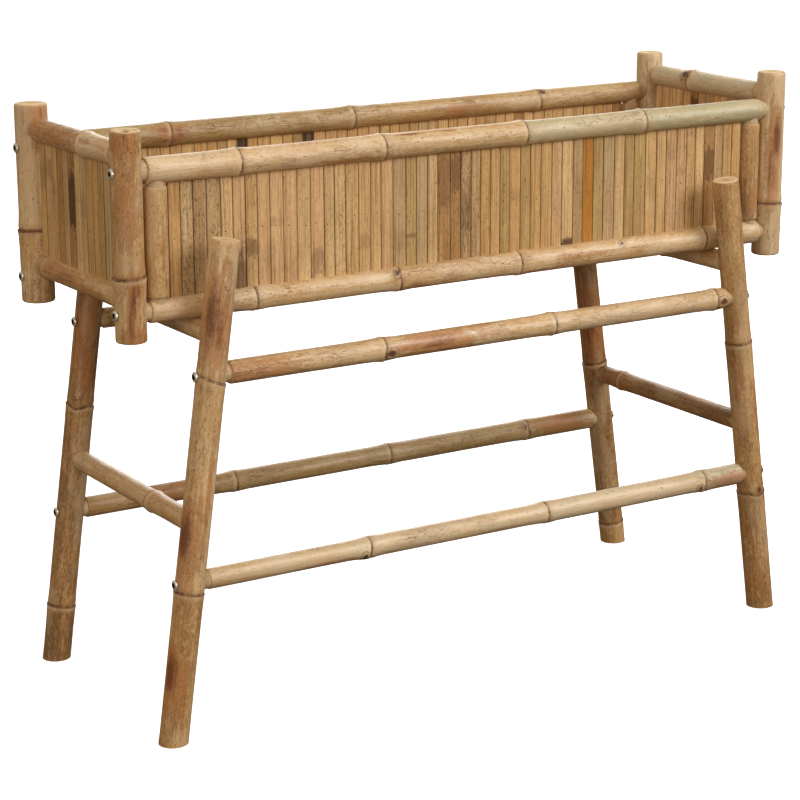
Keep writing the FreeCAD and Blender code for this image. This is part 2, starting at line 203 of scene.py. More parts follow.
# Sawn end of a culm: pale end grain peppered with dark fibre bundles, a small brown pith
end_finish, end = new_finish("bamboo_end_grain")
end_grain = end.attribute("grain", "Vector")
heart = end.attribute("heart")
bundles = end_grain.fleck((1, 1, 0.2), 900, 1.0).smooth(0.55, 0.72)
weather = end_grain.fleck((1, 1, 0.5), 90, 3.0)
end_colour = (heart + (weather - 0.5) * 0.16).ramp(
    (0.0, paint(176, 132, 84)),
    (0.15, paint(206, 170, 120)),
    (0.4, paint(220, 190, 144)),
    (0.85, paint(228, 200, 158)),
    (1.0, paint(190, 146, 98)),
)
end_colour = (bundles * 0.35).mix(end_colour, paint(150, 108, 66))
# Darker in a chipped hollow of a post top, and painted shade on the necks and shoulders at tenoned
# ends
hollow = end.attribute("hollow")
end_colour = (hollow.smooth(0.3, 0.65) * 0.85).mix(end_colour, paint(84, 50, 26))
end_rough = 0.62 + (weather - 0.5) * 0.2
end_relief = bundles * -0.6 + weather
end.surface(end_colour, end_rough, end_relief, 0.0006, Specular_IOR_Level=0.3)

POLE_SIDES = 40
# Longest mesh edge along the skin, near a knot and on an end face
RING_STEP = 0.012
KNOT_STEP = 0.0025
END_STEP = 0.005
KNOT_REACH = 0.010
END_INSET = 0.006
SHOULDER_EASE = 0.0018
SOLE_EASE = 0.0015
# Faces this near an end, or tilted this much in its bevel, show end grain
SAWN_DEPTH = 0.0001
SAWN_TILT = 0.45
# Outline of a node: distance along the pole from the sheath scar, and share of the full rise
NODE_OUTLINE = (
    (-0.0300, 0.0), (-0.0160, 0.2), (-0.0080, 0.4), (-0.0030, 0.75), (-0.0009, 1.0), (0.0, 0.85),
    (0.0007, 0.05), (0.0021, 0.25), (0.0045, 0.55), (0.0080, 0.4), (0.0200, 0.0),
)
NODE_RISE = 0.0019
NODE_CLEAR_OF_END = 0.002
# Painted shade on the necks and shoulders where a pole's tenons go into a post or leg
NECK_SHADE = 0.46
# Natural unevenness: kinks at the nodes, tilt of the scars, bumps and ovalness of the section.
# The skin sinks a little below the CAD pole so that nothing uneven stands proud of it
KINK_SIZES = (0.0001, 0.0003)
KINK_FADE = 0.06
SCAR_TILTS = (0.01, 0.05)
SCAR_REACH = 0.014
RING_REACH = 0.03
RING_HALF_WIDTH = 0.0015
BUMPS_ROUND = 70
BUMPS_ALONG = 9
BUMP_SIZE = 0.00028
BUMP_SINK = 0.0003
OVAL = 0.007
OVAL_SINK = 0.005
# Reach of a knot's pull on the scar, round the pole and along it, and depth of skin that a
# chip takes
KNOT_PULL = (0.011, 0.009)
CHIP_ZONE = 0.006


def internode_radius(s, length, diameter, taper, nodes):
    first = max([0.0] + [n for n in nodes if n < s])
    last = min([length] + [n for n in nodes if n >= s])
    return diameter / 2 - taper / 2 * (first + last) / 2


def turn_between(a, b):
    return (a - b + math.pi) % (2 * math.pi) - math.pi


# One culm, start to end; tones and olive casts go by internode. Angles are degrees from the
# facing side. Knots: place, angle, size, dip of the scar, swell. Stains: place, angle, half
# length, half angle, strength. Chips: angle, distance from the axis, size, depth. Slants: index
# of the node, angle, slope.
def culm(name, body, start, end, facing, diameter, nodes, seed, tones, taper=0.001,
         necks=(0.0, 0.0), neck_radius=0.0, bevels=(0.0, 0.0), knots=(), stains=(), chips=(),
         slants=(), dish=0.0, olives=(0.0,), rise=NODE_RISE, floor_cut=False):
    start, end, facing = Vector(start), Vector(end), Vector(facing)
    run = end - start
    length = run.length
    run.normalize()
    facing = (facing - run * facing.dot(run)).normalized()
    luck = random.Random(seed)

    # Half outline, from the axis at the start over the skin to the axis at the end
    butt_radius = internode_radius(0.0, length, diameter, taper, nodes)
    tip_radius = internode_radius(length, length, diameter, taper, nodes)
    outline = [(0.0, -necks[0])]
    if necks[0]:
        outline += [(neck_radius, -necks[0]), (neck_radius, 0.0)]
    outline.append((butt_radius, 0.0))
    for n in nodes:
        below = internode_radius(n, length, diameter, taper, nodes)
        above = internode_radius(n + 0.001, length, diameter, taper, nodes)
        for offset, share in NODE_OUTLINE:
            s = n + offset
            if NODE_CLEAR_OF_END < s < length - NODE_CLEAR_OF_END:
                outline.append(((below if offset <= 0 else above) + rise * share, s))
    outline.append((tip_radius, length))
    if necks[1]:
        outline += [(neck_radius, length), (neck_radius, length + necks[1])]
    outline.append((0.0, length + necks[1]))

    bm = bmesh.new()
    grain_layer = bm.verts.layers.float_vector.new("grain")
    layers = {key: bm.verts.layers.float.new(key)
              for key in ("tone", "olive", "stain", "ring", "side", "knot", "heart", "hollow")}
    points = [bm.verts.new((r, 0.0, s)) for r, s in outline]
    for one, two in zip(points, points[1:]):
        bm.edges.new((one, two))

    def longest(edge):
        one, two = (v.co for v in edge.verts)
        if min(one.x, two.x) < butt_radius - END_INSET:
            return END_STEP
        middle = (one.z + two.z) / 2
        near_knot = any(abs(middle - k[0]) < edge.calc_length() / 2 + KNOT_REACH for k in knots)
        return KNOT_STEP if near_knot else RING_STEP

    long_edges = bm.edges[:]
    while long_edges:
        long_edges = [e for e in bm.edges if e.calc_length() > longest(e)]
        bmesh.ops.subdivide_edges(bm, edges=long_edges, cuts=1)
    bmesh.ops.spin(bm, geom=bm.verts[:] + bm.edges[:], cent=(0, 0, 0), axis=(0, 0, 1),
                   dvec=(0, 0, 0), angle=2 * math.pi, steps=POLE_SIDES, use_merge=True)
    bmesh.ops.remove_doubles(bm, verts=bm.verts[:], dist=1e-6)
    bmesh.ops.recalc_face_normals(bm, faces=bm.faces[:])

    # Ease the rims of the shoulders and of the open ends
    for place, radius, neck, bevel in ((0.0, butt_radius, necks[0], bevels[0]),
                                       (length, tip_radius, necks[1], bevels[1])):
        width = SHOULDER_EASE if neck else bevel
        rim = [e for e in bm.edges if all(
            abs(v.co.z - place) < 1e-5 and abs(v.co.xy.length - radius) < 1e-5 for v in e.verts)]
        if width and rim:
            bmesh.ops.bevel(bm, geom=rim, offset=width, offset_type="OFFSET", segments=3,
                            profile=0.5, affect="EDGES", material=-1)
    for face in bm.faces:
        s = face.calc_center_median().z
        depth = min(s, length - s)
        sawn = depth < SAWN_DEPTH or (depth < max(bevels) and abs(face.normal.z) > SAWN_TILT)
        face.material_index = 1 if sawn else 0

    # Natural unevenness: a kink at every node, an oval section, waisted internodes, tilted scars
    kinks = [(0.0, Vector((0, 0)))]
    for n in nodes:
        way = luck.uniform(0, 2 * math.pi)
        size = luck.uniform(*KINK_SIZES) * min(1.0, n / KINK_FADE, (length - n) / KINK_FADE)
        kinks.append((n, Vector((math.cos(way), math.sin(way))) * size))
    kinks.append((length, Vector((0, 0))))
    oval_way = luck.uniform(0, math.pi)
    tilts = {n: (luck.uniform(0, 2 * math.pi), luck.uniform(*SCAR_TILTS)) for n in nodes}
    tilts.update({nodes[index]: (math.radians(angle), slope) for index, angle, slope in slants})
    shift = Vector((luck.uniform(-9, 9), luck.uniform(-9, 9), luck.uniform(-9, 9)))
    for v in bm.verts:
        x, y, s = v.co
        r = math.hypot(x, y)
        turn = math.atan2(y, x)
        nearest = min(nodes, key=lambda n: abs(s - n)) if nodes else -1.0
        d = s - nearest
        v[grain_layer] = v.co + shift
        internode = len([n for n in nodes if n < s])
        v[layers["tone"]] = tones[min(internode, len(tones) - 1)]
        v[layers["olive"]] = olives[min(internode, len(olives) - 1)]
        v[layers["ring"]] = min(abs(d), RING_REACH)
        v[layers["side"]] = (max(-1.0, min(1.0, d / RING_HALF_WIDTH))
                             * max(0.0, 1 - abs(d) / RING_REACH))
        v[layers["heart"]] = r / butt_radius
        skin_share = max(0.0, min(1.0, (r / butt_radius - 0.6) / 0.3))
        push = 0.0
        slide = 0.0
        for place, angle, size, dip, swell in knots:
            across = turn_between(turn, math.radians(angle)) * r
            q = math.hypot((s - place) / 1.15, across) / size
            push += swell * (math.exp(-1.3 * q * q) - 0.8 * math.exp(-9 * q * q)) * skin_share
            v[layers["knot"]] = max(v[layers["knot"]], 1 - q)
            if abs(nearest - place) < 0.02:
                slide -= dip * math.exp(-(across / KNOT_PULL[0]) ** 2 - (d / KNOT_PULL[1]) ** 2)
        for place, angle, half_length, half_angle, strength in stains:
            across = turn_between(turn, math.radians(angle)) / math.radians(half_angle)
            reach = ((s - place) / half_length) ** 2 + across ** 2
            v[layers["stain"]] = max(v[layers["stain"]], strength * math.exp(-0.7 * reach))
        for angle, out, size, depth in chips:
            chip_way = math.radians(angle)
            gap = math.hypot(x - out * math.cos(chip_way), y - out * math.sin(chip_way))
            if s > length - CHIP_ZONE:
                bite = math.exp(-(gap / size) ** 2)
                slide -= depth * bite
                v[layers["hollow"]] = max(v[layers["hollow"]], bite)
        # Painted shade on the neck and shoulder at each tenoned end
        if (necks[0] and s < 1e-4) or (necks[1] and s > length - 1e-4):
            v[layers["hollow"]] = NECK_SHADE
        if s > length - 1e-4:
            slide -= dish * max(0.0, 1 - (r / tip_radius) ** 2)
        if nodes:
            way, tilt = tilts[nearest]
            slide += tilt * r * math.cos(turn - way) * math.exp(-(d / SCAR_REACH) ** 2)
        if skin_share and 0.0 < s < length:
            bump_place = Vector((x * BUMPS_ROUND, y * BUMPS_ROUND, s * BUMPS_ALONG))
            push += (noise.noise(bump_place + shift) * BUMP_SIZE - BUMP_SINK) * skin_share
        oval = OVAL * math.cos(2 * (turn - oval_way)) - OVAL_SINK
        stretch = (1 + push / r if r > 0.001 else 1.0) * (1 + oval * skin_share)
        lean = Vector((0, 0))
        for (s0, k0), (s1, k1) in zip(kinks, kinks[1:]):
            if s0 <= s <= s1:
                lean = k0.lerp(k1, (s - s0) / (s1 - s0))
        v.co = (x * stretch + lean.x, y * stretch + lean.y, s + slide)

    turned = Matrix((facing, run.cross(facing), run)).transposed().to_4x4()
    bmesh.ops.transform(bm, matrix=Matrix.Translation(start) @ turned, verts=bm.verts)
    if floor_cut:
        bmesh.ops.bisect_plane(bm, geom=bm.verts[:] + bm.edges[:] + bm.faces[:], dist=1e-6,
                               plane_co=(0, 0, 0), plane_no=(0, 0, 1), clear_inner=True)
        open_edges = [e for e in bm.edges if e.is_boundary]
        sole = bmesh.ops.edgeloop_fill(bm, edges=open_edges, mat_nr=1)["faces"]
        bmesh.ops.inset_region(bm, faces=sole, thickness=SOLE_EASE, use_even_offset=True)
    add_piece(name, bm, body, (skin_finish, end_finish), "culm", name)


SHARP_ANGLE = math.radians(40)


# Put a finished mesh into the scene as a piece that moves with a body and stands for CAD nodes
def add_piece(name, bm, body, finishes, slot, *nodes):
    mesh = bpy.data.meshes.new(name)
    bm.to_mesh(mesh)
    bm.free()
    mesh.shade_smooth()
    mesh.set_sharp_from_angle(angle=SHARP_ANGLE)
    for finish in finishes:
        mesh.materials.append(finish)
    piece = bpy.data.objects.new("shaped_" + name, mesh)
    bpy.context.collection.objects.link(piece)
    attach(piece, body)
    if nodes:
        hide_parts(*nodes)


FRONT = (0, -1, 0)
LEG_Y = 0.172
LEG_FOOT = (0.4617, LEG_Y, -0.0052)
LEG_HEAD = (0.3748, LEG_Y, 0.6130)
LEG_BEVEL = 0.002
LEG_DISH = 0.0009
LEG_NODE_RISE = 0.0010
# Side, face, diameter and its loss per metre, nodes, tones, knots, stains, slants
LEGS = {
    "leg_front_left": (
        -1, -1, 0.0375, 0.001, (0.1957, 0.4569), (0.66, 0.48, 0.36), (),
        ((0.530, -48, 0.045, 30, 1.5), (0.515, -12, 0.035, 16, 1.4), (0.545, 10, 0.03, 14, 0.8),
         (0.575, -30, 0.04, 60, 0.4), (0.52, -32, 0.06, 80, 0.65), (0.266, -70, 0.028, 36, 1.6),
         (0.250, -45, 0.06, 45, 0.75), (0.33, 12, 0.05, 9, 0.7),
         (0.095, -70, 0.028, 34, 1.6), (0.08, -40, 0.05, 55, 0.5)),
        ((1, -110, 0.26),)),
    "leg_front_right": (
        1, -1, 0.0386, 0.006, (0.1804, 0.3980), (0.74, 0.7, 0.66),
        ((0.1862, 0, 0.0075, 0.004, 0.0009),),
        ((0.06, -50, 0.09, 60, 0.4), (0.30, 20, 0.05, 20, 0.45), (0.35, -50, 0.04, 30, 0.4)), ()),
    # Back left leg: its dark tones are partly painted shade
    "leg_back_left": (
        -1, 1, 0.0379, 0.005, (0.0793, 0.3512), (0.9, 0.82, 0.86),
        ((0.3600, -40, 0.005, 0.006, 0.0012),),
        ((0.47, -30, 0.07, 60, 0.45), (0.43, -55, 0.05, 20, 0.8), (0.40, -10, 0.03, 25, 0.7)), ()),
    # Back right leg: its dark middle tones and strong stains under the box are partly painted shade
    # of the box
    "leg_back_right": (
        1, 1, 0.0375, 0.006, (0.0387, 0.2953, 0.5503), (0.66, 0.84, 0.9, 0.46), (),
        ((0.36, -50, 0.05, 70, 1.1), (0.45, -60, 0.07, 30, 0.5), (0.57, -40, 0.05, 90, 0.45)), ()),
}
for number, (name, row) in enumerate(LEGS.items()):
    side_x, side_y, diameter, taper, nodes, tones, knots, stains, slants = row
    flip = Vector((side_x, side_y, 1))
    foot = flip * Vector(LEG_FOOT)
    head = flip * Vector(LEG_HEAD)
    culm(name, "stand", foot, head, FRONT, diameter, nodes, 10 + number, tones, taper,
         bevels=(0.0, LEG_BEVEL), knots=knots, stains=stains, slants=slants, dish=LEG_DISH,
         rise=LEG_NODE_RISE, floor_cut=True)

# Long stretchers: four slim culms that tie the left legs to the right ones.
# Their ends are turned down to round tenons that sit in holes in the legs.
STRETCHER_NECK = 0.0115
UPPER_HEIGHT = 0.452
LOWER_HEIGHT = 0.200
# Left and right shoulder, front or back, height, diameter and its loss per metre, nodes,
# tones, tenons, knots, stains, olive casts
STRETCHERS = {
    "stretcher_upper_front": (
        -0.3751, 0.3773, -LEG_Y, UPPER_HEIGHT, 0.0294, 0.0012, (0.2129, 0.4676, 0.7332),
        (0.42, 0.44, 0.36, 0.4),
        (0.0123, 0.0102), ((0.2205, 12, 0.0105, 0.003, 0.0026), (0.7415, 5, 0.0105, 0.002, 0.0026)),
        ((0.02, 0, 0.06, 60, 0.8), (0.285, -10, 0.045, 60, 1.0), (0.30, 40, 0.04, 30, 0.8),
         (0.36, -40, 0.03, 40, 0.5)),
        (0.0,)),
    "stretcher_upper_back": (
        -0.3774, 0.3777, LEG_Y, UPPER_HEIGHT, 0.028, 0.001, (0.150, 0.430, 0.705), (0.6, 0.55),
        (0.0101, 0.0098), (), ((0.3, 180, 0.1, 60, 0.6),), (0.3,)),
    "stretcher_lower_front": (
        -0.4104, 0.4120, -LEG_Y, LOWER_HEIGHT, 0.0252, -0.0055, (0.2263, 0.4951, 0.7570),
        (0.25, 0.26, 0.2, 0.13), (0.0125, 0.0109),
        ((0.2175, 34, 0.0100, 0.003, 0.0024), (0.7480, 20, 0.0085, 0.002, 0.0022)),
        ((0.180, 50, 0.05, 24, 0.7), (0.80, 10, 0.03, 50, 0.8), (0.42, 30, 0.05, 20, 0.4)),
        (0.05, 0.0)),
    "stretcher_lower_back": (
        -0.4119, 0.4121, LEG_Y, LOWER_HEIGHT, 0.0269, -0.0045, (0.2212, 0.4681, 0.7061),
        (0.5, 0.44, 0.44, 0.42),
        (0.0109, 0.0108), ((0.7000, -30, 0.006, 0.002, 0.0014),),
        ((0.13, 0, 0.05, 90, 0.8), (0.76, -20, 0.05, 60, 0.6)), (0.42,)),
}
for number, (name, row) in enumerate(STRETCHERS.items()):
    left, right, y, z, diameter, taper, nodes, tones, necks, knots, stains, olives = row
    culm(name, "stand", (left, y, z), (right, y, z), FRONT, diameter, nodes, 20 + number, tones,
         taper, necks, STRETCHER_NECK, knots=knots, stains=stains, olives=olives)

# Side stretchers and bearers: short culms from the front leg to the back leg.
# The bearers, just under the box, carry it; all four are tenoned into the legs.
LEFT = (-1, 0, 0)
# Diameter, neck, x, height, front and back shoulder, node, tones, tenons, stains
CROSS_POLES = {
    "side_stretcher_left": (
        0.027, 0.011, -0.4229, 0.271, -0.1532, 0.1534, 0.0926, (0.57, 0.55), (0.0088, 0.0086), ()),
    # The right side stretcher's dark tones are partly painted shade
    "side_stretcher_right": (
        0.027, 0.011, 0.4229, 0.271, -0.1534, 0.1523, 0.2578, (0.86, 0.9), (0.0086, 0.0097),
        ((0.26, 0, 0.06, 80, 0.45),)),
    "bearer_left": (
        0.028, 0.0115, -0.3908, 0.4998, -0.1533, 0.1541, 0.205, (0.5, 0.5), (0.0087, 0.0079), ()),
    "bearer_right": (
        0.028, 0.0115, 0.3910, 0.4978, -0.1540, 0.1543, 0.130, (0.55, 0.5), (0.0080, 0.0077), ()),
}
for number, (name, row) in enumerate(CROSS_POLES.items()):
    diameter, neck, x, z, front, back, node, tones, necks, stains = row
    culm(name, "stand", (x, front, z), (x, back, z), LEFT, diameter, (node,), 30 + number, tones,
         necks=necks, neck_radius=neck, stains=stains)

# Screws: nickel-plated pan-head furniture screws with a hexagon socket, driven from outside
# through the legs into the stretchers and through the posts into the long rails.
nickel_finish, nickel = new_finish("nickel_plate")
spot = nickel.node("ShaderNodeTexCoord", out="Object")
tarnish = spot.fleck((1, 1, 1), 420, 3.0)
swirl = spot.fleck((1, 1, 1), 2600, 1.0)
nickel_colour = tarnish.ramp((0.3, paint(196, 188, 170)), (0.7, paint(240, 237, 230)))
nickel.surface(nickel_colour, 0.14 + tarnish * 0.14, swirl, 0.0001, Metallic=0.6)
# The hexagon socket is painted dark: painted shade in the recess, with some dirt
socket_finish, socket_shade = new_finish("socket_shade_and_dirt")
socket_spot = socket_shade.node("ShaderNodeTexCoord", out="Object").fleck((1, 1, 1), 1500, 2.0)
socket_colour = socket_spot.ramp((0.3, paint(26, 23, 20)), (0.7, paint(66, 60, 52)))
socket_shade.surface(socket_colour, 0.35 + socket_spot * 0.2, socket_spot, 0.0001, Metallic=0.7)

HEAD_SIDES = 24
# Radius and height of the head's rim and of the shank below it
HEAD_OUTLINE = ((0.0042, 0.0026), (0.0053, 0.0022), (0.0062, 0.0013), (0.0065, 0.0005),
                (0.0064, 0.0))
SHANK_OUTLINE = ((0.003, 0.0), (0.003, -0.051), (0.0002, -0.060))
SOCKET_SIDES = 6
SOCKET_RADIUS = 0.0037
SOCKET_DEPTH = 0.0018


# Edges or faces that meet at some points, each once and in the same order every run
def edges_at(verts):
    return list(dict.fromkeys(e for v in verts for e in v.link_edges))


def faces_at(verts):
    return list(dict.fromkeys(f for v in verts for f in v.link_faces))


# One screw with its seat at the origin and its head towards +Z, added to a mesh and then placed
def pan_head_screw(bm, place):
    flat, height = HEAD_OUTLINE[0]
    level = Matrix.Translation((0, 0, height))
    circle = bmesh.ops.create_circle(bm, segments=HEAD_SIDES, radius=flat, matrix=level)["verts"]
    corners = bmesh.ops.create_circle(bm, segments=SOCKET_SIDES, radius=SOCKET_RADIUS,
                                      matrix=level)["verts"]
    rim, mouth = edges_at(circle), edges_at(corners)
    bmesh.ops.triangle_fill(bm, edges=rim + mouth, use_beauty=True, use_dissolve=False)
    made = circle + corners
    sunk = bmesh.ops.extrude_edge_only(bm, edges=mouth)["geom"]
    floor = [v for v in sunk if isinstance(v, bmesh.types.BMVert)]
    bmesh.ops.translate(bm, verts=floor, vec=(0, 0, -SOCKET_DEPTH))
    bmesh.ops.contextual_create(bm, geom=[e for e in sunk if isinstance(e, bmesh.types.BMEdge)])
    made += floor
    # The socket's walls and floor take the dark finish of painted shade and dirt
    for face in faces_at(floor):
        face.material_index = 1
    loop = rim
    size = flat
    for radius, height in HEAD_OUTLINE[1:] + SHANK_OUTLINE:
        grown = bmesh.ops.extrude_edge_only(bm, edges=loop)["geom"]
        ring_verts = [v for v in grown if isinstance(v, bmesh.types.BMVert)]
        loop = [e for e in grown if isinstance(e, bmesh.types.BMEdge)]
        bmesh.ops.scale(bm, verts=ring_verts, vec=(radius / size, radius / size, 1))
        for v in ring_verts:
            v.co.z = height
        size = radius
        made += ring_verts
    bmesh.ops.contextual_create(bm, geom=loop)
    bmesh.ops.recalc_face_normals(bm, faces=faces_at(made))
    bmesh.ops.transform(bm, matrix=place, verts=made)


def screws(name, body, seats):
    bm = bmesh.new()
    for left, right, y, z in seats:
        for x in (left, right):
            outward = Vector((math.copysign(1, x), 0, 0))
            turned = outward.to_track_quat("Z", "Y").to_matrix().to_4x4()
            pan_head_screw(bm, Matrix.Translation((x, y, z)) @ turned)
    add_piece(name, bm, body, (nickel_finish, socket_finish), "plated_screw", name)


# Left and right seat on the legs, front or back, height
STAND_SEATS = ((-0.41857, 0.41644, -LEG_Y, UPPER_HEIGHT), (-0.41638, 0.41614, LEG_Y, UPPER_HEIGHT),
               (-0.45267, 0.45253, -LEG_Y, LOWER_HEIGHT), (-0.45249, 0.45233, LEG_Y, LOWER_HEIGHT))
screws("stand_screws", "stand", STAND_SEATS)

# Corner posts: four stout culms at the corners of the box, closed at the top by a
# node wall and eased all round; one has a broken patch in its top.
POST_X = 0.481
POST_Y = 0.1335
POST_BOTTOM = 0.4950
POST_TOP = 0.7450
POST_BEVELS = (0.0028, 0.0035)
# Side, face, diameter and its loss per metre, node, tones, stains, chips
POSTS = {
    "corner_post_front_left": (
        -1, -1, 0.0391, 0.012, 0.0776, (0.54, 0.68),
        ((0.050, -12, 0.026, 13, 1.5), (0.024, -26, 0.026, 12, 1.5), (0.010, -8, 0.010, 40, 1.1),
         (0.066, -2, 0.010, 24, 1.4), (0.235, -30, 0.02, 70, 0.7), (0.17, -30, 0.06, 60, 0.5)),
        ((-20, 0.010, 0.006, 0.003), (60, 0.012, 0.004, 0.002))),
    "corner_post_front_right": (
        1, -1, 0.0388, 0.002, 0.0711, (0.34, 0.34),
        ((0.135, -22, 0.06, 24, 1.0), (0.163, -8, 0.03, 18, 1.7), (0.115, -34, 0.04, 9, 1.3),
         (0.105, -14, 0.03, 10, 1.3)), ()),
    "corner_post_back_left": (
        -1, 1, 0.0429, 0.006, 0.0924, (0.44, 0.34),
        ((0.235, 10, 0.03, 50, 0.8), (0.22, -10, 0.02, 30, 0.5), (0.0924, -40, 0.0024, 150, 1.3),
         (0.015, -40, 0.02, 60, 0.35)), ()),
    "corner_post_back_right": (
        1, 1, 0.038, 0.002, 0.098, (0.26, 0.22), ((0.2, -20, 0.05, 60, 0.3),), ()),
}
for number, (name, row) in enumerate(POSTS.items()):
    side_x, side_y, diameter, taper, node, tones, stains, chips = row
    x, y = side_x * POST_X, side_y * POST_Y
    culm(name, "planter_box", (x, y, POST_BOTTOM), (x, y, POST_TOP), FRONT, diameter, (node,),
         40 + number, tones, taper, bevels=POST_BEVELS, stains=stains, chips=chips)

# Rails: eight culms between the posts, tenoned into them; the short ones sit a little
# higher than the long ones so that the holes in one post miss each other.
# Diameter and its loss per metre, neck, left and right shoulder, height, face, nodes, tones,
# tenons, olive casts, knots, stains
LONG_RAILS = {
    "bottom_rail_front": (
        0.0285, -0.005, 0.01175, -0.4581, 0.4581, 0.5285, -1, (0.1383, 0.3418, 0.5228, 0.8225),
        (0.36, 0.4, 0.42, 0.44, 0.42), (0.0129, 0.0129), (0.0,),
        ((0.3370, -34, 0.0085, 0.004, 0.0022), (0.6832, -38, 0.0070, 0.0, 0.0016)),
        ((0.62, 10, 0.05, 40, 0.4), (0.36, 40, 0.02, 20, 0.6), (0.56, 50, 0.03, 20, 0.5))),
    "bottom_rail_back": (
        0.0285, -0.005, 0.01175, -0.4561, 0.4584, 0.5285, 1, (0.128, 0.372, 0.610, 0.834),
        (0.5, 0.5), (0.0149, 0.0126), (0.0,), (), ()),
    "top_rail_front": (
        0.0329, 0.003, 0.013, -0.4588, 0.4582, 0.6950, -1, (0.1210, 0.3206, 0.5297, 0.7183),
        (0.34, 0.4, 0.45, 0.15, 0.05), (0.0122, 0.0128), (0.0, 0.0, 0.1, 0.27, 0.36), (),
        ((0.27, 40, 0.05, 20, 0.4), (0.36, -62, 0.012, 5, 2.2), (0.415, -60, 0.006, 4, 2.2))),
    "top_rail_back": (
        0.031, 0.0015, 0.013, -0.4564, 0.4586, 0.6905, 1, (0.1614, 0.4343, 0.7372),
        (0.48, 0.48, 0.56, 0.5), (0.0146, 0.0124), (0.6, 0.58, 0.3),
        ((0.7430, -50, 0.0090, 0.004, 0.0022),),
        ((0.60, 0, 0.04, 60, 0.4), (0.150, -30, 0.010, 30, 1.2), (0.172, -10, 0.008, 40, 1.2),
         (0.157, 20, 0.012, 14, 1.3), (0.03, -20, 0.05, 60, 0.3))),
}
for number, (name, row) in enumerate(LONG_RAILS.items()):
    diameter, taper, neck, left, right, z, face_y, nodes, tones, necks, olives, knots, stains = row
    y = face_y * POST_Y
    culm(name, "planter_box", (left, y, z), (right, y, z), FRONT, diameter, nodes, 50 + number,
         tones, taper, necks, neck, knots=knots, stains=stains, olives=olives)

# Diameter and its loss per metre, neck, front and back shoulder, height, side, node, tones, tenons,
# olive casts, knots, stains
SHORT_RAILS = {
    "bottom_rail_left": (
        0.0285, 0.001, 0.01175, -0.1106, 0.1086, 0.5443, -1, 0.202, (0.58, 0.66), (0.0129, 0.0149),
        (0.0,), (),
        ((0.13, 10, 0.035, 35, 1.1), (0.07, -20, 0.04, 30, 0.6), (0.17, 30, 0.03, 30, 0.8),
         (0.198, 30, 0.003, 150, 1.2))),
    "bottom_rail_right": (
        0.0285, 0.001, 0.01175, -0.1106, 0.1109, 0.5443, 1, 0.080, (0.5, 0.5), (0.0129, 0.0126),
        (0.0,), (), ()),
    "top_rail_left": (
        0.0312, 0.005, 0.0125, -0.1113, 0.1089, 0.7140, -1, 0.0821, (0.4, 0.6), (0.0122, 0.0146),
        (0.0,), (),
        ((0.17, 20, 0.06, 40, 0.95), (0.12, 40, 0.03, 30, 0.6), (0.06, 30, 0.01, 12, 0.8))),
    "top_rail_right": (
        0.030, 0.001, 0.0125, -0.1107, 0.1111, 0.7140, 1, 0.1414, (0.14, 0.12), (0.0128, 0.0124),
        (0.12,),
        ((0.1480, 38, 0.0110, 0.004, 0.0022),), ((0.145, 38, 0.010, 45, 0.6),)),
}
for number, (name, row) in enumerate(SHORT_RAILS.items()):
    diameter, taper, neck, front, back, z, side_x, node, tones, necks, olives, knots, stains = row
    x = side_x * POST_X
    culm(name, "planter_box", (x, front, z), (x, back, z), LEFT, diameter, (node,), 60 + number,
         tones, taper, necks, neck, knots=knots, stains=stains, olives=olives)

# Uprights: short thin culms beside the posts that hold the long rails apart and
# close the ends of the slat walls; round tenons at both ends.
UPRIGHT_NECK = 0.011
# Place along the wall, face, diameter, bottom and top shoulder, tone, tenons, stains
UPRIGHTS = {
    "upright_front_left": (
        -0.4451, -1, 0.0290, 0.5450, 0.6765, 0.6, (0.0120, 0.0139), ((0.06, 10, 0.03, 10, 0.6),)),
    "upright_front_right": (
        0.4463, -1, 0.0270, 0.5468, 0.6778, 0.64, (0.0140, 0.0128), ((0.03, 0, 0.03, 60, 0.5),)),
    "upright_back_left": (-0.4442, 1, 0.0270, 0.5450, 0.6738, 0.55, (0.0120, 0.0130), ()),
    "upright_back_right": (0.4467, 1, 0.0270, 0.5468, 0.6745, 0.5, (0.0140, 0.0125), ()),
}
for number, (name, row) in enumerate(UPRIGHTS.items()):
    x, side_y, diameter, low, high, tone, necks, stains = row
    y = side_y * POST_Y
    culm(name, "planter_box", (x, y, low), (x, y, high), FRONT, diameter, (), 70 + number, (tone,),
         necks=necks, neck_radius=UPRIGHT_NECK, stains=stains)

# Wall slats: split bamboo strips stood side by side in grooves along the rails, skin
# side out. They come from many culms, so their colours run from straw to grey and brown.
slat_finish, slat = new_finish("split_bamboo")
slat_grain = slat.attribute("grain", "Vector")
slat_streaks = slat_grain.fleck((1, 1, 0.02), 420, 4.0, 0.65)
slat_fibres = slat_grain.fleck((1, 1, 0.012), 700, 2.0, 0.6)
slat_clouds = slat_grain.fleck((1, 1, 0.25), 60, 4.0, 0.6)
slat_mottle = slat_grain.fleck((1, 1, 0.5), 260, 5.0, 0.7)
slat_colour = slat.attribute("tint", "Color")
slat_colour = ((slat_clouds - 0.4) * 1.2).mix(slat_colour, paint(196, 172, 132), "MULTIPLY")
slat_colour = ((slat_mottle - 0.42) * 1.2).mix(slat_colour, paint(186, 160, 124), "MULTIPLY")
slat_colour = (slat_streaks.smooth(0.48, 0.68) * 0.5).mix(slat_colour, paint(138, 96, 54))
slat_lines = slat_grain.fleck((1, 1, 0.01), 480, 3.0, 0.65)
slat_colour = (slat_lines.smooth(0.52, 0.68) * 0.5).mix(slat_colour, paint(108, 72, 40))
slat_colour = (slat_fibres.smooth(0.52, 0.74) * 0.35).mix(slat_colour, paint(232, 202, 152))

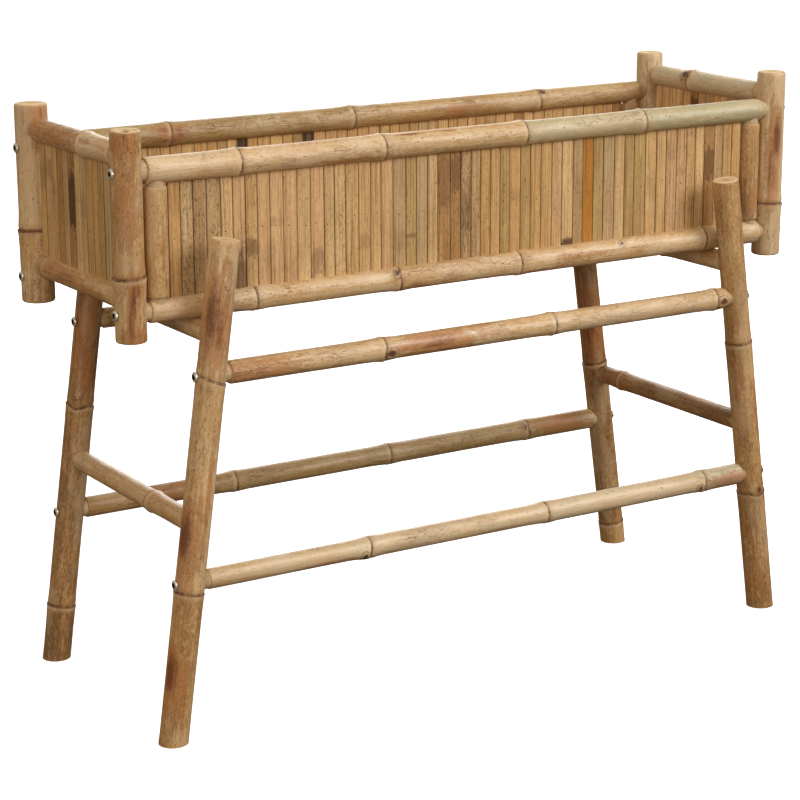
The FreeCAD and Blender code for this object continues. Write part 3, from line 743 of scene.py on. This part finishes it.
# Mould specks on some strips, pits and scratches on all
specks = (slat_grain.fleck((1, 1, 0.3), 560, 3.0, 0.65)
          + slat.attribute("mould") * slat_clouds * 0.22)
specks = specks.smooth(0.63, 0.72)
slat_worn = slat_grain.fleck((1, 1, 0.4), 45, 2.0)
slat_scores = (slat_grain.fleck((1, 1, 0.06), 560, 1.0).smooth(0.68, 0.76)
               * slat_worn.smooth(0.48, 0.6))
slat_marks = specks * 0.6 + slat_scores * 0.55
slat_colour = slat_marks.mix(slat_colour, paint(84, 60, 40))

# One smudge up each strip: its place, its reach and how dark it is
smudge = (abs(slat.attribute("along") - slat.attribute("smudge_place"))
          * slat.attribute("smudge_reach"))
smudge = (1 - smudge.smooth(0.0, 1.0)) + (slat_mottle - 0.5) * 1.5 + (slat_clouds - 0.5) * 1.5
smudge = smudge.smooth(0.4, 0.85) * slat.attribute("smudge")
slat_colour = smudge.mix(slat_colour, paint(84, 52, 30))
# Painted shade along the edges of each strip, in the joints between strips
edge_shade = slat.attribute("edge")
slat_colour = (edge_shade * 0.75).mix(slat_colour, paint(84, 56, 30))
slat_rough = 0.55 + (slat_streaks - 0.5) * 0.25 + slat_marks * 0.2
slat_relief = slat_streaks * 0.5 + slat_fibres * 0.4 + slat_mottle * 0.3 - slat_marks * 0.7
slat.surface(slat_colour, slat_rough, slat_relief, 0.0005, Specular_IOR_Level=0.3)

STRAW = paint(221, 184, 131)
TAN = paint(215, 174, 119)
PINK_TAN = paint(216, 173, 125)
HONEY = paint(209, 165, 107)
GREY_GREEN = paint(198, 166, 120)
OLIVE = paint(190, 156, 100)
GREY_BROWN = paint(192, 156, 110)
BROWN = paint(178, 134, 82)
AMBER = paint(188, 126, 46)
BLACKENED = paint(60, 38, 24)
SLAT_COLOURS = ([STRAW] * 4 + [TAN] * 5 + [PINK_TAN] * 4 + [HONEY] * 4 + [GREY_GREEN] * 2 + [OLIVE]
                + [GREY_BROWN, BROWN])


def shaded(colour, cast_and_light, share):
    return (*[value * part * share for value, part in zip(colour, cast_and_light)], 1.0)


# A bare mesh with the marks that a split strip carries
def strip_mesh():
    bm = bmesh.new()
    bm.verts.layers.float_vector.new("grain")
    bm.verts.layers.float_color.new("tint")
    for key in ("along", "edge", "mould", "smudge", "smudge_place", "smudge_reach"):
        bm.verts.layers.float.new(key)
    return bm


# Lines along a strip, as shares of its width, closest together where its edges are eased
STRIP_LINES = (-0.5, -0.44, -0.34, 0.0, 0.34, 0.44, 0.5)
STRIP_ROWS = 2
# Painted shade in the joints: share of the width beyond which a strip's edge is darkened, and its
# range of strength
EDGE_LINE = 0.47
EDGE_SHADE = (0.45, 1.2)
# A smudge is its place up the strip, its half length and how dark it is
CLEAN = (0.0, 0.01, 0.0)


# One split strip: X across, Y along, skin side +Z, its flat inner face at Z = -thickness.
# Ease is how far the drop of the skin side gathers at the edges
def strip(bm, width, length, thickness, crown, ease, place, tints, luck, smudge=CLEAN, mould=0.0):
    columns = len(STRIP_LINES) - 1
    made = bmesh.ops.create_grid(bm, x_segments=columns, y_segments=STRIP_ROWS, size=0.5)["verts"]
    for v in made:
        share = STRIP_LINES[round((v.co.x + 0.5) * columns)]
        drop = (1 - ease) * (2 * share) ** 2 + ease * (2 * share) ** 12
        v.co = (share * width, v.co.y * length, -crown * drop)
    back = bmesh.ops.extrude_face_region(bm, geom=faces_at(made))["geom"]
    inner = [v for v in back if isinstance(v, bmesh.types.BMVert)]
    for v in inner:
        v.co.z = -thickness
    made = made + inner
    bmesh.ops.recalc_face_normals(bm, faces=faces_at(made))
    layers = bm.verts.layers
    shift = Vector([luck.uniform(-20, 20) for axis in range(3)])
    # Strength of the painted shade at each edge of the strip
    edge_shades = [luck.uniform(*EDGE_SHADE) for edge in range(2)]
    for v in made:
        v[layers.float_vector["grain"]] = Vector((v.co.x, v.co.z, v.co.y)) + shift
        rise = v.co.y / length + 0.5
        v[layers.float_color["tint"]] = [low + (high - low) * rise for low, high in zip(*tints)]
        v[layers.float["along"]] = v.co.y
        v[layers.float["edge"]] = edge_shades[v.co.x > 0] if abs(v.co.x) > width * EDGE_LINE else 0.0
        v[layers.float["mould"]] = mould
        v[layers.float["smudge_place"]], half, v[layers.float["smudge"]] = smudge
        v[layers.float["smudge_reach"]] = 1 / half
    bmesh.ops.transform(bm, matrix=place, verts=made)


SLAT_PITCH = 0.0165
SLAT_GAP = 0.0006
SLAT_THICKNESS = 0.005
SLAT_CROWN = 0.0009
SLAT_EASE = 0.55
SLAT_SPREAD = (0.86, 1.14)
SLAT_PALENESS = (0.92, 1.06)
SLAT_SINK = 0.0003
# Strips that stand out on the real planter: place along the wall, colour, mould, smudge
ODD_SLATS = {
    "front": (
        (-0.406, GREY_GREEN, 0.9, CLEAN), (-0.388, GREY_BROWN, 0.8, CLEAN),
        (-0.372, GREY_GREEN, 0.7, CLEAN), (-0.334, PINK_TAN, 0.2, (-0.055, 0.07, 0.65)),
        (-0.320, TAN, 0.4, (-0.02, 0.025, 0.5)),
        (-0.212, STRAW, 0.4, CLEAN), (-0.197, STRAW, 0.7, CLEAN), (-0.146, TAN, 0.3, CLEAN),
        (-0.095, OLIVE, 0.2, (-0.03, 0.008, 0.45)), (-0.063, STRAW, 0.2, CLEAN),
        (-0.046, BROWN, 0.6, (0.03, 0.08, 0.3)), (-0.029, BROWN, 0.8, (0.045, 0.06, 0.45)),
        (-0.014, GREY_BROWN, 1.0, (0.0, 0.08, 0.3)), (0.002, GREY_BROWN, 0.7, CLEAN),
        (0.016, HONEY, 0.3, CLEAN), (0.031, HONEY, 0.4, CLEAN), (0.045, OLIVE, 0.4, CLEAN),
        (0.077, OLIVE, 0.2, CLEAN),
        (0.143, STRAW, 0.3, (-0.066, 0.014, 0.9)), (0.160, GREY_BROWN, 0.4, CLEAN),
        (0.176, AMBER, 0.1, CLEAN),
        (0.192, OLIVE, 0.3, CLEAN), (0.243, OLIVE, 0.2, CLEAN), (0.260, OLIVE, 0.2, CLEAN),
        (0.376, BROWN, 0.3, (0.02, 0.06, 0.6)), (0.392, GREY_BROWN, 0.5, CLEAN)),
    "back": (
        (0.191, BLACKENED, 0.3, CLEAN), (0.090, BLACKENED, 0.3, CLEAN), (-0.25, BROWN, 0.3, CLEAN)),
    "left": (
        (-0.0165, BROWN, 0.2, (0.01, 0.07, 0.9)), (-0.05, BROWN, 0.2, CLEAN),
        (0.06, OLIVE, 0.4, CLEAN)),
    "right": ((0.03, BROWN, 0.3, (0.05, 0.03, 0.8)),),
}
NO_CAST = (1.0, 1.0, 1.0)
# Half span, bottom, top, distance of the flat inner face from the middle of the box, quarter turns,
# colour cast of the wall, which on the right wall is painted light that makes it paler
WALLS = {
    "front": (0.42960, 0.5372, 0.6855, 0.1310, 0, NO_CAST),
    # The right wall is painted a quarter paler, as painted light on its inner face
    "right": (0.11182, 0.5528, 0.7047, 0.4785, 1, (1.25, 1.25, 1.25)),
    "back": (0.42960, 0.5372, 0.6813, 0.1310, 2, (1.0, 0.96, 0.85)),
    "left": (0.10973, 0.5528, 0.7044, 0.4785, 3, NO_CAST),
}


def wall_place(quarters, along, out, height):
    upright = Matrix.Translation((along, -out, height)) @ Matrix.Rotation(math.pi / 2, 4, "X")
    return Matrix.Rotation(quarters * math.pi / 2, 4, "Z") @ upright


slat_centres = {}
for number, (wall, (half, low, high, inner, quarters, cast_and_light)) in enumerate(WALLS.items()):
    luck = random.Random(80 + number)
    count = round(2 * half / SLAT_PITCH)
    widths = [luck.uniform(*SLAT_SPREAD) for k in range(count)]
    scale = 2 * half / sum(widths)
    bm = strip_mesh()
    place = -half
    slat_centres[wall] = []
    for share in widths:
        pitch = share * scale
        along = place + pitch / 2
        place += pitch
        tint = luck.choice(SLAT_COLOURS)
        mould = luck.uniform(0.0, 0.5) ** 2 * 2
        smudge = (luck.uniform(-0.07, 0.07), luck.uniform(0.01, 0.04), luck.uniform(0.0, 0.6) ** 2)
        for odd_place, *odd in ODD_SLATS[wall]:
            if abs(odd_place - along) < pitch / 2:
                tint, mould, smudge = odd
        tints = [shaded(tint, cast_and_light, luck.uniform(*SLAT_PALENESS)) for end in range(2)]
        skin_out = inner + SLAT_THICKNESS - luck.uniform(0.0, SLAT_SINK)
        standing = wall_place(quarters, along, skin_out, (low + high) / 2)
        strip(bm, pitch - SLAT_GAP, high - low, skin_out - inner, SLAT_CROWN, SLAT_EASE, standing,
              tints, luck, smudge, mould)
        slat_centres[wall].append((along, skin_out))
    add_piece("wall_slats_" + wall, bm, "planter_box", (slat_finish,), "split_slat",
              "wall_slats_" + wall)

# Battens and nails: a half-round strip across the inside of each wall, with one small
# nail through every slat; only the dark nail heads show from outside.
BATTEN_HEIGHT = 0.6120
BATTEN_WIDTH = 0.020
BATTEN_THICKNESS = 0.008
BATTEN_CROWN = BATTEN_THICKNESS * 0.93
nail_finish, nail = new_finish("dark_nail_head")
nail_spot = nail.node("ShaderNodeTexCoord", out="Object").fleck((1, 1, 1), 900, 2.0)
nail_colour = nail_spot.ramp((0.3, paint(52, 36, 24)), (0.7, paint(96, 70, 48)))
nail.surface(nail_colour, 0.45 + nail_spot * 0.2, nail_spot, 0.0001, Metallic=0.6)
NAIL_RADIUS = 0.0009
NAIL_SUNK = 0.0001
NAIL_STRAY_ACROSS = 0.003
NAIL_STRAY_UP = 0.005
NAIL_FLATTEN = Matrix.Diagonal((1, 1, 0.4, 1))
for number, (wall, (half, _, _, inner, quarters, _)) in enumerate(WALLS.items()):
    luck = random.Random(90 + number)
    bm = strip_mesh()
    round_box = Matrix.Rotation(quarters * math.pi / 2, 4, "Z")
    against_slats = Matrix.Translation((0, -inner + BATTEN_THICKNESS, BATTEN_HEIGHT))
    lying = (round_box @ against_slats @ Matrix.Rotation(-math.pi / 2, 4, "X")
             @ Matrix.Rotation(math.pi / 2, 4, "Z"))
    strip(bm, BATTEN_WIDTH, 2 * half, BATTEN_THICKNESS, BATTEN_CROWN, 0.0, lying, (HONEY, TAN),
          luck)
    add_piece("batten_" + wall, bm, "planter_box", (slat_finish,), "split_slat", "batten_" + wall)

    bm = bmesh.new()
    for along, skin_out in slat_centres[wall]:
        nail_along = along + luck.uniform(-NAIL_STRAY_ACROSS, NAIL_STRAY_ACROSS)
        nail_height = BATTEN_HEIGHT + luck.uniform(-NAIL_STRAY_UP, NAIL_STRAY_UP)
        driven = wall_place(quarters, nail_along, skin_out - NAIL_SUNK, nail_height)
        bmesh.ops.create_uvsphere(bm, u_segments=8, v_segments=4, radius=NAIL_RADIUS,
                                  matrix=driven @ NAIL_FLATTEN)
    add_piece("slat_nails_" + wall, bm, "planter_box", (nail_finish,), "plated_screw")

# Floor: split strips laid across the box on the long bottom rails to carry the soil,
# with a wider one let into the short rail at each end.
FLOOR_PITCH = 0.022137
FLOOR_WIDTH = 0.018
FLOOR_LENGTH = 0.2616
FLOOR_THICKNESS = 0.005
FLOOR_CROWN = 0.0009
FLOOR_SHADE = (0.75, 0.95)
FLOOR_NARROWING = 0.001
FLOOR_MOULD = 0.3
# Runs of strips from left to right and the level of their tops, higher where they lie on a
# node of a rail
FLOOR_RUNS = (
    (4, 0.54787), (1, 0.54965), (9, 0.54833), (1, 0.55012), (1, 0.55026), (6, 0.54895),
    (1, 0.55072), (3, 0.54941), (1, 0.55085), (8, 0.54953), (1, 0.55072), (1, 0.55123),
    (2, 0.54992),
)
END_STRIP_LEVEL = 0.54776
# Middle, width and length of the strip at each end
END_STRIPS = ((-0.45294, 0.03866, 0.21946), (0.45293, 0.03863, 0.22364))
luck = random.Random(100)
bm = strip_mesh()
levels = [level for count, level in FLOOR_RUNS for k in range(count)]
for k, level in enumerate(levels):
    x = (k - (len(levels) - 1) / 2) * FLOOR_PITCH
    tint = luck.choice(SLAT_COLOURS)
    tints = [shaded(tint, NO_CAST, luck.uniform(*FLOOR_SHADE)) for end in range(2)]
    width = FLOOR_WIDTH - luck.uniform(0.0, FLOOR_NARROWING)
    smudge = (luck.uniform(-0.1, 0.1), 0.05, luck.uniform(0.1, 0.5))
    lying = Matrix.Translation((x, 0, level))
    strip(bm, width, FLOOR_LENGTH, FLOOR_THICKNESS, FLOOR_CROWN, SLAT_EASE, lying, tints, luck,
          smudge, FLOOR_MOULD)
for x, width, length in END_STRIPS:
    lying = Matrix.Translation((x, 0, END_STRIP_LEVEL))
    strip(bm, width, length, FLOOR_THICKNESS, FLOOR_CROWN, SLAT_EASE, lying, (HONEY, TAN), luck)
add_piece("floor_slats", bm, "planter_box", (slat_finish,), "floor_strip", "floor_slats")

# Box screws: eight more of the same screws, driven through the posts into the ends of
# the long rails to pull them tight; the heads show on the end faces of the box.
# Left and right seat on the posts, front or back, height of the rail
BOX_SEATS = ((-0.49969, 0.50032, -POST_Y, 0.6950), (-0.50044, 0.50044, -POST_Y, 0.5285),
             (-0.50206, 0.49993, POST_Y, 0.6905), (-0.50243, 0.50005, POST_Y, 0.5285))
screws("box_screws", "planter_box", BOX_SEATS)

# Studio: a plain white floor and backdrop, large soft lamps to the right in front, to the
# left, above and low behind, and a camera where the photograph was taken.
FLOOR_REACH = 15
FLOOR_BELOW_FEET = 0.0005
floor_finish, floor_shade = new_finish("studio_floor")
floor_spot = floor_shade.node("ShaderNodeTexCoord", out="Object").fleck((1, 1, 1), 3, 2.0)
floor_colour = floor_spot.ramp((0.3, (0.84, 0.84, 0.84, 1)), (0.7, (0.87, 0.87, 0.87, 1)))
floor_shade.surface(floor_colour, 0.9, floor_spot, 0.0001,
                    Emission_Color=(1, 1, 1, 1), Emission_Strength=0.75)
bm = bmesh.new()
bmesh.ops.create_grid(bm, x_segments=4, y_segments=4, size=FLOOR_REACH)
floor_mesh = bpy.data.meshes.new("studio_floor")
bm.to_mesh(floor_mesh)
bm.free()
floor_mesh.materials.append(floor_finish)
studio_floor = bpy.data.objects.new("studio_floor", floor_mesh)
bpy.context.collection.objects.link(studio_floor)
studio_floor.location.z = -FLOOR_BELOW_FEET
studio_floor.visible_diffuse = False
studio_floor.visible_glossy = False

world = bpy.data.worlds.new("studio")
world.use_nodes = True
world.node_tree.nodes.clear()
air = Shade(world.node_tree)
seen = air.node("ShaderNodeLightPath", out="Is Camera Ray")
way = air.node("ShaderNodeTexCoord", out="Generated")
lift = air.node("ShaderNodeSeparateXYZ", {}, {0: way}, out="Z").smooth(-0.5, 0.5)
ambient = seen.mix(lift.mix((1.0, 0.72, 0.46, 1), (1.0, 0.92, 0.8, 1)), (1, 1, 1, 1))
strength = 0.08 + lift * 0.4 + seen * 1.12
glow = air.node("ShaderNodeBackground", {}, {"Color": ambient, "Strength": strength})
air.node("ShaderNodeOutputWorld", {}, {"Surface": glow})
bpy.context.scene.world = world

LOOK_AT = Vector((0, 0, 0.4))
# Place, size, power, colour
LAMPS = {
    "key_lamp": ((2.6, -3.6, 3.0), 3.0, 190, (0.965, 0.985, 1.0)),
    "top_lamp": ((0.0, 0.2, 3.6), 2.6, 12, (1.0, 1.0, 1.0)),
    "fill_lamp": ((-3.4, -2.6, 1.6), 2.4, 58, (1.0, 0.9, 0.74)),
    "back_lamp": ((2.0, 3.2, 1.2), 2.4, 46, (1.0, 0.97, 0.92)),
}
for name, (place, size, power, colour) in LAMPS.items():
    lamp = bpy.data.lights.new(name, "AREA")
    lamp.shape = "DISK"
    lamp.size = size
    lamp.energy = power
    lamp.color = colour
    holder = bpy.data.objects.new(name, lamp)
    holder.location = place
    holder.rotation_euler = (LOOK_AT - Vector(place)).to_track_quat("-Z", "Y").to_euler()
    bpy.context.collection.objects.link(holder)

CAMERA_TARGET = Vector((-0.028, 0.0, 0.3297))
CAMERA_DISTANCE = 3.2
CAMERA_AZIMUTH = math.radians(-31.937)
CAMERA_ELEVATION = math.radians(14.885)
CAMERA_ROLL = math.radians(-0.221)
CAMERA_SENSOR = 36
CAMERA_LENS = 108.28
back = Vector((math.sin(CAMERA_AZIMUTH) * math.cos(CAMERA_ELEVATION),
               -math.cos(CAMERA_AZIMUTH) * math.cos(CAMERA_ELEVATION), math.sin(CAMERA_ELEVATION)))
across = Vector((0, 0, 1)).cross(back).normalized()
upward = back.cross(across)
view = Matrix((across, upward, back)).transposed() @ Matrix.Rotation(CAMERA_ROLL, 3, "Z")
camera_data = bpy.data.cameras.new("studio_camera")
camera_data.sensor_width = CAMERA_SENSOR
camera_data.lens = CAMERA_LENS
camera = bpy.data.objects.new("studio_camera", camera_data)
camera.matrix_world = Matrix.Translation(CAMERA_TARGET + back * CAMERA_DISTANCE) @ view.to_4x4()
bpy.context.collection.objects.link(camera)
bpy.context.scene.camera = camera
bpy.context.scene.view_settings.view_transform = "Standard"
